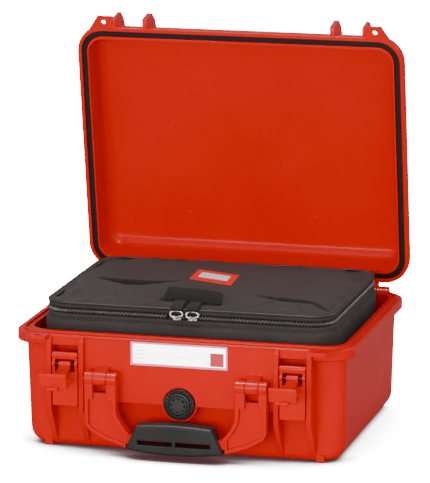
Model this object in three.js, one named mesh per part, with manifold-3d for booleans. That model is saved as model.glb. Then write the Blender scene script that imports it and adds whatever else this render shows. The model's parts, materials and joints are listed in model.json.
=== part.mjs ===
// Moulded carry case with its lid open and a zipped padded bag standing in the well.
// Millimetres. +X is the case's right as seen from the front, the front (latches, carry
// handle, valve) faces -Y, +Z is up. The origin is on the ground under the rim's centre.
// Lid features are written in the closed position and turned with the lid group, and the
// hooks are written in the closed position and turned with their own groups.
import * as THREE from 'three';
import { mergeVertices } from 'three/addons/utils/BufferGeometryUtils.js';
import Module from 'manifold-3d';

const wasm = await Module();
wasm.setup();

// ---- driving dimensions -------------------------------------------------------------
const GAP = 0.3;
const CORNER_STEPS = 7;

const RIM = { x: 203, y: 158, r: 32, top: 138.5, thick: 13 };
const BODY_TOP = { x: 192, y: 145, r: 13, z: 127 };
const BODY_LOW = { x: 190, y: 142.3, r: 16, z: 20 };
const BODY_CENTRE_Y = 5.5;
const FRONT_FILLET = 9;
const SIDE_FILLET = 20;
const WELL_TOP = { x: 188, y: 141, r: 24 };
const WELL_LOW = { x: 182, y: 135.8, r: 20, z: 13 };
const WELL_FLOOR = 5;
const WELL_FILLET = 8;

const TONGUE = { outer: 7.2, inner: 9.8, height: 2.3 };
const GROOVE = { outer: 5, inner: 12, depth: 7 };

const LID_FLANGE = 12;
const LID_TOP = 184.5;
const LID_BODY = { x: 195, y: 147.5, r: 26, draft: 2.5, fillet: 10 };
const LID_CAVITY = { x: 189.5, y: 142.6, r: 19, draft: 2, fillet: 14, ceiling: 180.5 };
const HINGE = { y: 169, z: 134, lobe: 8, pin: 2.6, in: 120, out: 177.5, lidIn: 134.4, lidOut: 163.1 };
const LID_OPEN_DEG = 80;

const LATCH_X = 136;
const RIB = { in: 113.5, out: 119.5, far: 152.5, end: 158.5, front: -164 };
const LEVER = { half: 15.25, front: -163.5, back: -160, low: 54, barrel: 4 };
const LEVER_PIVOT = { y: -161, z: 115, r: 2 };
const HOOK_PIVOT = { y: -162.5, z: 104.5, r: 1.5 };
const HOOK_OUT_DEG = 102;
const CLAW_HALF = 16;
const NECK_HALF = 7;

const HANDLE_PIVOT = { y: -170, z: 92, lobe: 8.5, r: 3 };
const KNUCKLE = { in: 83.3, out: 98.5 };
const ARM = { in: 71.2, out: 108.7, webFront: -172, webBack: -166, front: -176.5, back: -163.5 };
const GRIP = { front: -184, back: -164, bevel: 3.5 };

const PANEL = { half: RIB.in, front: -156.5, low: 61.5, top: 136 };
const VALVE = { z: 63.5, r: 18.4, seat: -153, front: -160, stem: 8 };
const LABEL = { half: 58, low: 107.5, top: 135.5, border: 2.4 };

const BAG = { x: 174, y: 130, r: 30, cy: 1, floor: WELL_FLOOR + GAP, seam: 157, wall: 6 };
const ZIP = { low: 157.3, split: 160.1, top: 163.2, inset: 1.5, depth: 4 };
const COVER_LOW = 163.5;
const COVER_TOP = 174.5;
const PULL = { x: 9.5, y: -136, z: 161, r: 6.2, wire: 1.2, lean: 20, wide: 1.18, tall: 0.68 };

// ---- colours --------------------------------------------------------------------------
const RED = 0xd3220f;
const LATCH_RED = 0xd83a22;
const BLACK_RUBBER = 0x1c1b1b;
const GRIP_BLACK = 0x3a3835;
const CLOTH = 0x463f3c;
const STEEL = 0xb9bcc0;

const matter = (color, roughness, metalness = 0) =>
  new THREE.MeshStandardMaterial({ color, roughness, metalness });

// ---- solid helpers ----------------------------------------------------------------------
function toSolid(geometry) {
  const bare = geometry.clone();
  for (const name of ['normal', 'uv']) bare.deleteAttribute(name);
  const merged = mergeVertices(bare, 1e-4);
  return new wasm.Manifold(new wasm.Mesh({
    numProp: 3,
    vertProperties: new Float32Array(merged.attributes.position.array),
    triVerts: new Uint32Array(merged.index.array),
  }));
}

function toGeometry(solid) {
  const mesh = solid.getMesh();
  const geometry = new THREE.BufferGeometry();
  geometry.setAttribute('position', new THREE.BufferAttribute(new Float32Array(mesh.vertProperties), 3));
  geometry.setIndex(new THREE.BufferAttribute(new Uint32Array(mesh.triVerts), 1));
  geometry.computeVertexNormals();
  return geometry;
}

const join = (...solids) => solids.reduce((a, b) => a.add(b));
const cut = (body, ...tools) => tools.reduce((a, b) => a.subtract(b), body);

// A closed outline of a rectangle with round corners, anticlockwise from above.
function ring(x, y, r, z, cy = 0) {
  const points = [];
  const corners = [[x - r, y - r, 0], [r - x, y - r, 1], [r - x, r - y, 2], [x - r, r - y, 3]];
  for (const [px, py, quarter] of corners) {
    for (let i = 0; i <= CORNER_STEPS; i += 1) {
      const a = (quarter + i / CORNER_STEPS) * Math.PI / 2;
      points.push(new THREE.Vector3(px + r * Math.cos(a), cy + py + r * Math.sin(a), z));
    }
  }
  return points;
}

// A closed skin over a stack of rings that have the same number of points.
function loft(rings) {
  const n = rings[0].length;
  const positions = rings.flat().flatMap((p) => [p.x, p.y, p.z]);
  const index = [];
  for (let k = 0; k < rings.length - 1; k += 1) {
    for (let i = 0; i < n; i += 1) {
      const a = k * n + i;
      const b = k * n + (i + 1) % n;
      index.push(a, b, b + n, a, b + n, a + n);
    }
  }
  const top = (rings.length - 1) * n;
  for (let i = 1; i < n - 1; i += 1) {
    index.push(0, i + 1, i);
    index.push(top, top + i, top + i + 1);
  }
  const geometry = new THREE.BufferGeometry();
  geometry.setAttribute('position', new THREE.Float32BufferAttribute(positions, 3));
  geometry.setIndex(index);
  return toSolid(geometry);
}

// Rings of a quarter-round edge that turns a side wall into a flat face.
function edgeRings(size, radius, z, direction, steps, cy = 0) {
  const rings = [];
  for (let i = 0; i <= steps; i += 1) {
    const a = (i / steps) * Math.PI / 2;
    const inset = radius * (1 - Math.cos(a));
    const corner = Math.max(size.r - inset, 2);
    rings.push(ring(size.x - inset, size.y - inset, corner, z + direction * radius * Math.sin(a), cy));
  }
  return direction < 0 ? rings.reverse() : rings;
}

// A rectangular band that follows the rim, between two offsets from the rim's outer edge.
function rimBand(outer, inner, z0, z1) {
  const slab = (offset, low, high) => loft([low, high].map((z) =>
    ring(RIM.x - offset, RIM.y - offset, RIM.r - offset, z)));
  return cut(slab(outer, z0, z1), slab(inner, z0 - 1, z1 + 1));
}

function block(x0, x1, y0, y1, z0, z1) {
  const geometry = new THREE.BoxGeometry(x1 - x0, y1 - y0, z1 - z0);
  geometry.translate((x0 + x1) / 2, (y0 + y1) / 2, (z0 + z1) / 2);
  return toSolid(geometry);
}

function outline(points) {
  return new THREE.Shape(points.map(([a, b]) => new THREE.Vector2(a, b)));
}

// A side outline given as (y, z) points, extruded along X.
function sideSlab(shape, x0, x1) {
  const geometry = new THREE.ExtrudeGeometry(shape, { depth: x1 - x0, bevelEnabled: false, curveSegments: 10 });
  const basis = new THREE.Matrix4().makeBasis(
    new THREE.Vector3(0, 1, 0), new THREE.Vector3(0, 0, 1), new THREE.Vector3(1, 0, 0));
  geometry.applyMatrix4(basis.setPosition(x0, 0, 0));
  return toSolid(geometry);
}

// A front outline given as (x, z) points, extruded along Y from y0 to y1.
function frontSlab(shape, y0, y1, options = {}) {
  const geometry = new THREE.ExtrudeGeometry(shape, {
    depth: y1 - y0, bevelEnabled: false, curveSegments: 10, ...options });
  const basis = new THREE.Matrix4().makeBasis(
    new THREE.Vector3(1, 0, 0), new THREE.Vector3(0, 0, 1), new THREE.Vector3(0, -1, 0));
  geometry.applyMatrix4(basis.setPosition(0, y1, 0));
  return toSolid(geometry);
}

function plate(points, z0, z1) {
  const geometry = new THREE.ExtrudeGeometry(outline(points), { depth: z1 - z0, bevelEnabled: false });
  geometry.translate(0, 0, z0);
  return toSolid(geometry);
}

// A round bar along X, Y or Z.
function bar(axis, r, from, to, a, b, sides = 24) {
  const geometry = new THREE.CylinderGeometry(r, r, to - from, sides);
  const middle = (from + to) / 2;
  if (axis === 'x') geometry.rotateZ(Math.PI / 2).translate(middle, a, b);
  if (axis === 'y') geometry.translate(a, middle, b);
  if (axis === 'z') geometry.rotateX(Math.PI / 2).translate(a, b, middle);
  return toSolid(geometry);
}

// The span between two distances from the middle plane, on one side of the case.
const span = (side, near, far) => (side > 0 ? [near, far] : [-far, -near]);
const SIDES = [['left', -1], ['right', 1]];

// ---- base shell -------------------------------------------------------------------------
// The bottom edge is rounded more along the two ends than along the front and rear.
function bottomRings() {
  const inset = (radius, z) => (z < radius ? radius - Math.sqrt(radius ** 2 - (radius - z) ** 2) : 0);
  const { x, y, r, z: top } = BODY_LOW;
  return [0, 0.6, 2.4, 5.4, 9, 14, top].map((z) =>
    ring(x - inset(SIDE_FILLET, z), y - inset(FRONT_FILLET, z), r, z, BODY_CENTRE_Y));
}

function baseBody() {
  const top = ring(BODY_TOP.x, BODY_TOP.y, BODY_TOP.r, BODY_TOP.z, BODY_CENTRE_Y);
  const outer = loft([...bottomRings(), top]);
  const soft = 2;
  const foot = RIM.top - RIM.thick;
  const flange = loft([
    ring(RIM.x - 1, RIM.y - 1, RIM.r - 1, foot), ring(RIM.x, RIM.y, RIM.r, foot + 1),
    ...edgeRings(RIM, soft, RIM.top - soft, 1, 2)]);
  return join(outer, flange);
}

function baseWell() {
  const low = edgeRings(WELL_LOW, WELL_FILLET, WELL_LOW.z, -1, 4, BODY_CENTRE_Y);
  return loft([...low, ring(WELL_TOP.x, WELL_TOP.y, WELL_TOP.r, RIM.top + 10, BODY_CENTRE_Y)]);
}

// A latch rib: upright beside the lever, then sloping back to the wall near the ground.
function latchRib(x0, x1) {
  return sideSlab(outline([[-132.8, 5], [-135.5, 3], [RIB.front, 49.5], [RIB.front, 131],
    [-161, 136], [-150, 137.5], [-137.2, 130]]), x0, x1);
}

function padlockEye(side, z0, z1) {
  const points = [[155, -148], [157, -171.5], [176, -171.5], [190, -150], [186, -140]];
  const tab = plate(points.map(([x, y]) => [side * x, y]), z0, z1);
  return cut(tab, bar('z', 3, z0 - 1, z1 + 1, side * 168.5, -164));
}

function handleKnuckle(side) {
  const { y, z, lobe } = HANDLE_PIVOT;
  const [x0, x1] = span(side, KNUCKLE.in, KNUCKLE.out);
  const root = outline([[-137, 76], [-170, z - lobe], [-170, z + lobe], [-154, 104.5], [-137, 106]]);
  return join(sideSlab(root, x0, x1), bar('x', lobe, x0, x1, y, z));
}

function hingeLug(x0, x1) {
  const root = outline([[144, 96], [150, 98], [169, 126.2], [169, 134], [161, 136], [158, 138], [147.5, 138]]);
  return join(sideSlab(root, x0, x1), bar('x', HINGE.lobe, x0, x1, HINGE.y, HINGE.z));
}

function sideFeatures(side) {
  const [r0, r1] = span(side, RIB.in, RIB.out);
  const [r2, r3] = span(side, RIB.far, RIB.end);
  const [h0, h1] = span(side, HINGE.in, HINGE.lidIn - 0.4);
  const [h2, h3] = span(side, HINGE.lidOut + 0.4, HINGE.out);
  const [t0, t1] = span(side, RIB.end, RIB.end + 10);
  return join(
    latchRib(r0, r1), latchRib(r2, r3), hingeLug(h0, h1), hingeLug(h2, h3), handleKnuckle(side),
    padlockEye(side, RIM.top - 5, RIM.top - GAP), block(t0, t1, -139, -131, 0.8, 9));
}

function sideHoles(side) {
  return join(
    bar('x', LEVER_PIVOT.r + GAP, ...span(side, RIB.in - 1, RIB.end + 1), LEVER_PIVOT.y, LEVER_PIVOT.z),
    bar('x', HANDLE_PIVOT.r + GAP, ...span(side, KNUCKLE.in - 1, KNUCKLE.out + 1),
      HANDLE_PIVOT.y, HANDLE_PIVOT.z),
    bar('x', HINGE.pin + GAP, ...span(side, HINGE.in - 1, HINGE.out + 1), HINGE.y, HINGE.z));
}

function frontPanel() {
  const { half, front, low, top } = PANEL;
  const wall = block(-half - 1, half + 1, front, -137, low, top);
  const boss = bar('y', VALVE.r + 3, front, -137, 0, VALVE.z, 40);
  return join(wall, boss);
}

function frontCuts() {
  return join(
    block(-PANEL.half, PANEL.half, -170, PANEL.front, RIM.top - RIM.thick - 5, PANEL.top),
    bar('y', VALVE.r + 0.8, -170, VALVE.seat, 0, VALVE.z, 40),
    bar('y', VALVE.stem + GAP, -170, -120, 0, VALVE.z),
    bar('y', 17, -135.3, -120, 0, VALVE.z, 40));
}

function baseShell() {
  const tongue = rimBand(TONGUE.outer, TONGUE.inner, RIM.top - 1, RIM.top + TONGUE.height);
  const body = join(baseBody(), frontPanel(), sideFeatures(-1), sideFeatures(1), tongue);
  return cut(body, baseWell(), frontCuts(), sideHoles(-1), sideHoles(1));
}

// ---- lid ---------------------------------------------------------------------------------
function lidFin(x0, x1) {
  const foot = RIM.top + 2 * GAP;
  return sideSlab(outline([[-150, foot], [-168, foot], [-170, foot + 2], [-170, 164], [-167, 168],
    [-158, 177], [-144.5, 182], [-146, 150]]), x0, x1);
}

function lidLug(x0, x1) {
  const arm = outline([[147, 140], [158.8, 140], [162.5, 137.5], [169, 134], [173, 140.5], [166, 147.5],
    [146, 150.4]]);
  return join(sideSlab(arm, x0, x1), bar('x', HINGE.lobe, x0, x1, HINGE.y, HINGE.z));
}

function lidOuter() {
  const foot = RIM.top + GAP;
  const flangeTop = RIM.top + LID_FLANGE;
  const { x, y, r, draft, fillet } = LID_BODY;
  const flange = loft([
    ring(RIM.x - 1, RIM.y - 1, RIM.r - 1, foot), ring(RIM.x, RIM.y, RIM.r, foot + 1),
    ring(RIM.x, RIM.y, RIM.r, flangeTop - 2), ring(RIM.x - 2, RIM.y - 2, RIM.r - 2, flangeTop)]);
  const crown = edgeRings({ x: x - draft, y: y - draft, r: r - draft }, fillet, LID_TOP - fillet, 1, 4);
  return join(flange, loft([ring(x, y, r, flangeTop - 4), ...crown]));
}

function lidCavity() {
  const { x, y, r, draft, fillet, ceiling } = LID_CAVITY;
  const crown = edgeRings({ x: x - draft, y: y - draft, r: r - draft }, fillet, ceiling - fillet, 1, 5);
  return loft([ring(x, y, r, RIM.top - 5), ...crown]);
}

function lidShell() {
  const parts = SIDES.map(([, side]) => join(
    lidFin(...span(side, RIB.in, RIB.out)), lidFin(...span(side, RIB.far + 0.5, RIB.end - 1.5)),
    lidLug(...span(side, HINGE.lidIn, HINGE.lidOut)),
    padlockEye(side, RIM.top + GAP, RIM.top + 5)));
  const groove = rimBand(GROOVE.outer, GROOVE.inner, RIM.top - 5, RIM.top + GAP + GROOVE.depth);
  const pinHoles = SIDES.map(([, side]) =>
    bar('x', HINGE.pin + GAP, ...span(side, HINGE.in - 1, HINGE.out + 1), HINGE.y, HINGE.z));
  return cut(join(lidOuter(), ...parts), lidCavity(), groove, ...pinHoles);
}

const lidGasket = () => rimBand(GROOVE.outer + 0.4, GROOVE.inner - 0.4,
  RIM.top + TONGUE.height + 0.4, RIM.top + GROOVE.depth);

// ---- latches -------------------------------------------------------------------------------
function latchLever(centre) {
  const { half, front, back, low, barrel } = LEVER;
  const { y, z, r } = LEVER_PIVOT;
  const face = sideSlab(outline([[front, low + 1.5], [front + 1.5, low], [back, low], [back, z], [front, z]]),
    centre - half, centre + half);
  const roll = bar('x', barrel, centre - half, centre + half, y, z, 28);
  const rail = (x0, x1) => join(
    sideSlab(outline([[front, low + 4], [-153, low + 12], [-153, 106], [back, 113], [front, 113]]), x0, x1),
    bar('x', 3.4, x0, x1, HOOK_PIVOT.y, HOOK_PIVOT.z));
  const rails = join(rail(centre - half, centre - 12), rail(centre + 12, centre + half));
  return cut(join(face, roll, rails),
    block(centre - 11.7, centre + 11.7, -175, -150, 95.5, 110.7),
    bar('x', r + GAP, centre - half - 1, centre + half + 1, y, z),
    bar('x', HOOK_PIVOT.r + GAP, centre - half - 1, centre + half + 1, HOOK_PIVOT.y, HOOK_PIVOT.z));
}

// The hook in the closed position, written from its own pivot.
function latchHook(centre) {
  const neck = sideSlab(outline([[-7, -1], [-2, -3.2], [0, 0], [-2.4, 3.4], [-3, 6], [-3, 36], [-7, 36]]),
    centre - NECK_HALF, centre + NECK_HALF);
  const knuckle = bar('x', 3.6, centre - NECK_HALF, centre + NECK_HALF, 0, 0);
  const claw = sideSlab(outline([[-8, 35], [-6, 33], [-3.3, 33], [-3.3, 46.3], [8.5, 46.3], [10, 47.3],
    [10, 49], [8.5, 50.5], [-6.5, 50.5], [-8, 49]]), centre - CLAW_HALF, centre + CLAW_HALF);
  const tab = sideSlab(outline([[-8, 48], [-4.5, 48], [-4.5, 55.5], [-5.5, 56.5], [-7, 56.5], [-8, 55.5]]),
    centre - NECK_HALF, centre + NECK_HALF);
  return cut(join(neck, knuckle, claw, tab),
    bar('x', HOOK_PIVOT.r + GAP, centre - CLAW_HALF, centre + CLAW_HALF, 0, 0));
}

// ---- carry handle ----------------------------------------------------------------------------
const ARM_OUTER = [[108.7, 92], [108.7, 39], [104.8, 31.6], [86, 21.2], [59.8, 12.6]];
const ARM_INNER = [[71.2, 92], [71.2, 57], [69.8, 49.5], [64.5, 40], [54.4, 27.6]];
const CORE = { mid: 48, low: 26.9, top: 33, end: 45.2, endLow: 17.5, endTop: 28.5 };

// A strip along an open line of points, as wide as the flange of an arm.
function edgeStrip(line, width) {
  const inner = line.map(([x, z], i) => {
    const [px, pz] = line[Math.max(i - 1, 0)];
    const [qx, qz] = line[Math.min(i + 1, line.length - 1)];
    const length = Math.hypot(qx - px, qz - pz);
    return [x - (width * (pz - qz)) / length, z - (width * (qx - px)) / length];
  });
  return [...line, ...inner.reverse()];
}

function handleArm(side) {
  const flip = (points) => outline(points.map(([x, z]) => [side * x, z]));
  const web = flip([...ARM_OUTER.map(([x, z]) => [x, Math.min(z, 75)]),
    ...[...ARM_INNER].reverse().map(([x, z]) => [x, Math.min(z, 75)])]);
  const outer = flip(edgeStrip(ARM_OUTER, 4.5));
  const inner = flip(edgeStrip(ARM_INNER, -4.5));
  const lobe = (near, far) => bar('x', HANDLE_PIVOT.lobe, ...span(side, near, far),
    HANDLE_PIVOT.y, HANDLE_PIVOT.z);
  const cheek = (near, far) => {
    const [x0, x1] = span(side, near, far);
    return block(x0, x1, ARM.front, ARM.back, 68, HANDLE_PIVOT.z);
  };
  return join(
    frontSlab(web, ARM.webFront, ARM.webBack), frontSlab(outer, ARM.front, ARM.back),
    frontSlab(inner, ARM.front, ARM.back), cheek(KNUCKLE.out + 0.5, ARM.out),
    cheek(ARM.in, KNUCKLE.in - 0.5), lobe(KNUCKLE.out + 0.5, ARM.out), lobe(ARM.in, KNUCKLE.in - 0.5));
}

// The bar inside the grip, stepped down at both ends where it meets the arms.
function gripCore(gap) {
  const [y0, y1] = [-176 - gap, -168 + gap];
  const ends = SIDES.map(([, side]) =>
    block(...span(side, CORE.end - gap, 62), y0, y1, CORE.endLow - gap, CORE.endTop + gap));
  return join(block(-CORE.mid - gap, CORE.mid + gap, y0, y1, CORE.low - gap, CORE.top + gap), ...ends);
}

function handleFrame() {
  const holes = SIDES.map(([, side]) => bar('x', HANDLE_PIVOT.r + GAP,
    ...span(side, ARM.in - 1, ARM.out + 1), HANDLE_PIVOT.y, HANDLE_PIVOT.z));
  return cut(join(handleArm(-1), handleArm(1), gripCore(0)), ...holes);
}

function handleGrip() {
  const b = GRIP.bevel;
  const shape = new THREE.Shape();
  shape.moveTo(-46 + b, 42.5 - b);
  shape.quadraticCurveTo(0, 46.5 - b, 46 - b, 42.5 - b);
  shape.lineTo(57.5 - b, 12 + b);
  shape.quadraticCurveTo(0, 3.5 + b, -57.5 + b, 12 + b);
  shape.closePath();
  const body = frontSlab(shape, GRIP.front + b, GRIP.back - b,
    { bevelEnabled: true, bevelThickness: b, bevelSize: b, bevelSegments: 3 });
  const slot = (x0, x1) => block(x0, x1, -190, -150, 19, 25);
  return cut(body, slot(-43.5, -2), slot(2, 43.5), gripCore(GAP));
}

// ---- purge valve -------------------------------------------------------------------------------
function turned(profile, sides = 40) {
  const geometry = new THREE.LatheGeometry(profile.map(([r, y]) => new THREE.Vector2(r, y)), sides);
  return toSolid(geometry.translate(0, 0, VALVE.z));
}

function valveBody() {
  const { r, front, seat, stem } = VALVE;
  const back = seat - 2.4;
  return turned([[0, front + 8], [3.3, front + 8], [3.3, front + 1.6], [14, front + 1.6], [14, front],
    [r - 0.8, front], [r, front + 0.8], [r, back], [stem, back], [stem, -131.4], [0, -131.4]]);
}

const valveKnob = () => turned([[0, -162], [12.6, -162], [13.6, -161.2], [13.6, VALVE.front + 1.3],
  [3, VALVE.front + 1.3], [3, -153], [0, -153]]);

const valveSeal = () => turned([[11, VALVE.seat - 0.3], [11, VALVE.seat - 2.1], [16, VALVE.seat - 2.1],
  [16, VALVE.seat - 0.3], [11, VALVE.seat - 0.3]]);

function valveNut() {
  const geometry = new THREE.CylinderGeometry(15, 15, 3.6, 6).translate(0, -133.2, VALVE.z);
  return cut(toSolid(geometry), bar('y', VALVE.stem + GAP, -140, -120, 0, VALVE.z));
}

// ---- label ---------------------------------------------------------------------------------------
function labelFrame() {
  const { half, low, top, border } = LABEL;
  return cut(block(-half, half, -158.2, -156.8, low, top),
    block(border - half, half - border, -160, -150, low + border, top - border));
}

function labelCard() {
  const { half, low, top, border } = LABEL;
  const edge = border + GAP;
  return block(edge - half, half - edge, -157.4, -156.8, low + edge, top - edge);
}

// ---- padded bag ------------------------------------------------------------------------------------
const bagRing = (inset, z) => ring(BAG.x - inset, BAG.y - inset, Math.max(BAG.r - inset, 4), z, BAG.cy);

function bagTray() {
  const low = edgeRings(BAG, 10, BAG.floor + 10, -1, 3, BAG.cy);
  const hollow = loft([bagRing(BAG.wall + 8, BAG.floor + 7), bagRing(BAG.wall, BAG.floor + 15),
    bagRing(BAG.wall, BAG.seam + 5)]);
  return cut(loft([...low, bagRing(0, BAG.seam)]), hollow);
}

// One zip tape: it runs along the front and both sides and stops short of the rear corners.
function zipTape(z0, z1) {
  const outer = loft([bagRing(ZIP.inset, z0), bagRing(ZIP.inset, z1)]);
  const inner = loft([bagRing(ZIP.inset + ZIP.depth, z0 - 1), bagRing(ZIP.inset + ZIP.depth, z1 + 1)]);
  return cut(outer, inner, block(-200, 200, 100, 200, z0 - 1, z1 + 1));
}

const bagBackHinge = () => block(-136, 136, 124, 129, ZIP.low, ZIP.top);

function bagCover() {
  return loft([bagRing(1.2, COVER_LOW), bagRing(1.2, 167), bagRing(3.4, 167), bagRing(3.4, 170),
    bagRing(7, 171.2), bagRing(16, 172), bagRing(50, 173.6), bagRing(90, COVER_TOP)]);
}

function bagPiping() {
  return cut(loft([bagRing(0.6, 167.3), bagRing(0, 167.8), bagRing(0, 169.2), bagRing(0.6, 169.7)]),
    loft([bagRing(3, 166), bagRing(3, 171)]));
}

function bagHandle() {
  const shape = new THREE.Shape();
  shape.moveTo(-40, 173.4);
  shape.lineTo(-34, 173.6);
  shape.quadraticCurveTo(-28, 176.8, -22, 176.8);
  shape.lineTo(22, 176.8);
  shape.quadraticCurveTo(28, 176.8, 34, 173.6);
  shape.lineTo(40, 173.4);
  shape.lineTo(40, 175.6);
  shape.lineTo(35, 175.8);
  shape.quadraticCurveTo(28, 179.6, 20, 179.6);
  shape.lineTo(-20, 179.6);
  shape.quadraticCurveTo(-28, 179.6, -35, 175.8);
  shape.lineTo(-40, 175.6);
  shape.closePath();
  return frontSlab(shape, -112, -92);
}

// The patch is sewn on a little askew.
const bagPatch = () => plate([[-31, 4], [26, -18], [22, 40], [-34, 60]],
  COVER_TOP + 0.4, COVER_TOP + 1.2);

function zipSlider(centre) {
  const shoe = block(centre - 5, centre + 5, -131.8, -128.1, ZIP.low + 0.4, ZIP.top - 0.4);
  const bridge = block(centre - 1.5, centre + 1.5, PULL.y - 2.2, -131.5, PULL.z - 2.2, PULL.z + 2.2);
  return cut(join(shoe, bridge), bar('x', PULL.wire + 0.4, centre - 3, centre + 3, PULL.y, PULL.z, 16));
}

// An oval pull that stands up out of the slider's bridge and leans towards the bag.
function zipPull(centre) {
  const torus = new THREE.TorusGeometry(PULL.r, PULL.wire, 8, 24);
  torus.rotateX(Math.PI / 2).translate(0, 0, PULL.r).scale(PULL.wide, 1, PULL.tall);
  torus.rotateX(-THREE.MathUtils.degToRad(PULL.lean));
  return toSolid(torus.translate(centre, PULL.y, PULL.z));
}

function pullTab(centre) {
  const path = outline([[-132.8, 171.8], [-131, 171.4], [-128.5, 173.1], [-113.5, 174],
    [-113.5, 175.8], [-129.3, 174.9]]);
  return sideSlab(path, centre - 7, centre + 7);
}

// ---- assembly -----------------------------------------------------------------------------------------
function piece(parent, name, solid, material) {
  const mesh = new THREE.Mesh(toGeometry(solid), material);
  mesh.name = name;
  parent.add(mesh);
  return mesh;
}

const shellRed = () => matter(RED, 0.42);
const latchRed = () => matter(LATCH_RED, 0.4);
const steel = () => matter(STEEL, 0.3, 1);
const cloth = () => matter(CLOTH, 0.95);

function addBase(group) {
  piece(group, 'base_shell', baseShell(), shellRed());
  for (const [name, side] of SIDES) {
    piece(group, `hinge_pin_${name}`,
      bar('x', HINGE.pin, ...span(side, HINGE.in + 1, HINGE.out - 1), HINGE.y, HINGE.z), steel());
    piece(group, `latch_pin_${name}`,
      bar('x', LEVER_PIVOT.r, ...span(side, RIB.in + 1, RIB.end - 1), LEVER_PIVOT.y, LEVER_PIVOT.z), steel());
    piece(group, `handle_pin_${name}`,
      bar('x', HANDLE_PIVOT.r, ...span(side, ARM.in + 2, ARM.out - 2), HANDLE_PIVOT.y, HANDLE_PIVOT.z), steel());
  }
  piece(group, 'valve_body', valveBody(), matter(BLACK_RUBBER, 0.5));
  piece(group, 'valve_knob', valveKnob(), matter(GRIP_BLACK, 0.5));
  piece(group, 'valve_seal', valveSeal(), matter(BLACK_RUBBER, 0.8));
  piece(group, 'valve_nut', valveNut(), matter(BLACK_RUBBER, 0.5));
  piece(group, 'label_frame', labelFrame(), matter(0xf3c9c6, 0.25));
  piece(group, 'label_card', labelCard(), matter(0xf4f2f0, 0.8));
}

// The lid group's origin is the hinge axis, so its meshes are shifted back from it.
function addLid(group) {
  const lid = new THREE.Group();
  lid.position.set(0, HINGE.y, HINGE.z);
  lid.rotation.x = -THREE.MathUtils.degToRad(LID_OPEN_DEG);
  group.add(lid);
  for (const mesh of [piece(lid, 'lid_shell', lidShell(), shellRed()),
    piece(lid, 'lid_gasket', lidGasket(), matter(BLACK_RUBBER, 0.7))]) {
    mesh.position.set(0, -HINGE.y, -HINGE.z);
  }
}

function addLatches(group) {
  for (const [name, side] of SIDES) {
    const centre = side * LATCH_X;
    piece(group, `latch_lever_${name}`, latchLever(centre), latchRed());
    piece(group, `hook_pin_${name}`, bar('x', HOOK_PIVOT.r, centre - LEVER.half + 0.6,
      centre + LEVER.half - 0.6, HOOK_PIVOT.y, HOOK_PIVOT.z), steel());
    const hook = new THREE.Group();
    hook.position.set(0, HOOK_PIVOT.y, HOOK_PIVOT.z);
    hook.rotation.x = THREE.MathUtils.degToRad(HOOK_OUT_DEG);
    group.add(hook);
    piece(hook, `latch_hook_${name}`, latchHook(centre), latchRed());
  }
}

function addHandle(group) {
  piece(group, 'handle_frame', handleFrame(), shellRed());
  piece(group, 'handle_grip', handleGrip(), matter(GRIP_BLACK, 0.75));
}

function addBag(group) {
  piece(group, 'bag_tray', bagTray(), cloth());
  piece(group, 'zip_tape_lower', zipTape(ZIP.low, ZIP.split), matter(0x26221f, 0.9));
  piece(group, 'bag_back_hinge', bagBackHinge(), cloth());
  piece(group, 'bag_cover', bagCover(), cloth());
  piece(group, 'zip_tape_upper', zipTape(ZIP.split + GAP, ZIP.top), matter(0x26221f, 0.9));
  piece(group, 'bag_piping', bagPiping(), matter(0x26221f, 0.8));
  piece(group, 'bag_handle', bagHandle(), matter(0x1e1b19, 0.9));
  piece(group, 'bag_patch', bagPatch(), matter(0xe23a22, 0.6));
  for (const [name, side] of SIDES) {
    const centre = side * PULL.x;
    piece(group, `zip_slider_${name}`, zipSlider(centre), steel());
    piece(group, `zip_pull_${name}`, zipPull(centre), steel());
    piece(group, `pull_tab_${name}`, pullTab(centre), cloth());
  }
}

const group = new THREE.Group();
addBase(group);
addLid(group);
addLatches(group);
addHandle(group);
addBag(group);

export default group;
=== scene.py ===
"""Looks for the red carry case with a padded zip bag: materials, cloth and finish over the CAD frame.

Metres, in the row frame: +X is the case's right seen from the front, the front faces -Y, +Z up.
"""

import json
import math

import bmesh
import bpy
import numpy as np
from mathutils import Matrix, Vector, noise

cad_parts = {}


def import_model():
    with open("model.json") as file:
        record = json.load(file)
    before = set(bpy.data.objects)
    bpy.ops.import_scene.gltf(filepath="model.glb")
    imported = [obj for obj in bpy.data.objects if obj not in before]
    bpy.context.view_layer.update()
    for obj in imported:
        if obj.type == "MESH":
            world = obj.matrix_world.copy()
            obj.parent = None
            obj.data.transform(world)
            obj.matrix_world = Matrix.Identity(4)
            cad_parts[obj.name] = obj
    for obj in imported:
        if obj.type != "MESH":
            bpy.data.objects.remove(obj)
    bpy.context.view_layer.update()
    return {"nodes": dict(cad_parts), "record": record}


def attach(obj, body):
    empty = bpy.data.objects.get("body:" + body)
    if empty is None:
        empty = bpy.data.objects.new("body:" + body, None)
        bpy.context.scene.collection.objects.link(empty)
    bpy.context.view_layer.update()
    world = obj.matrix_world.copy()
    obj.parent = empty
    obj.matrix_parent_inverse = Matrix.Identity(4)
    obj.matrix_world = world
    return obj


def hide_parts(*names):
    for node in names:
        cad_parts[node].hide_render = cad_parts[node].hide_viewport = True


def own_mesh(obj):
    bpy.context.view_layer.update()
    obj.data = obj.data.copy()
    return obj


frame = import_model()

MM = 0.001
NODES = frame["nodes"]

# ---- small mesh tools ---------------------------------------------------------------------


def new_object(name, verts, faces, smooth=True):
    mesh = bpy.data.meshes.new(name)
    mesh.from_pydata([tuple(v) for v in verts], [], faces)
    mesh.validate()
    mesh.polygons.foreach_set("use_smooth", [smooth] * len(mesh.polygons))
    mesh.update()
    obj = bpy.data.objects.new(name, mesh)
    bpy.context.scene.collection.objects.link(obj)
    return obj


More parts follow.
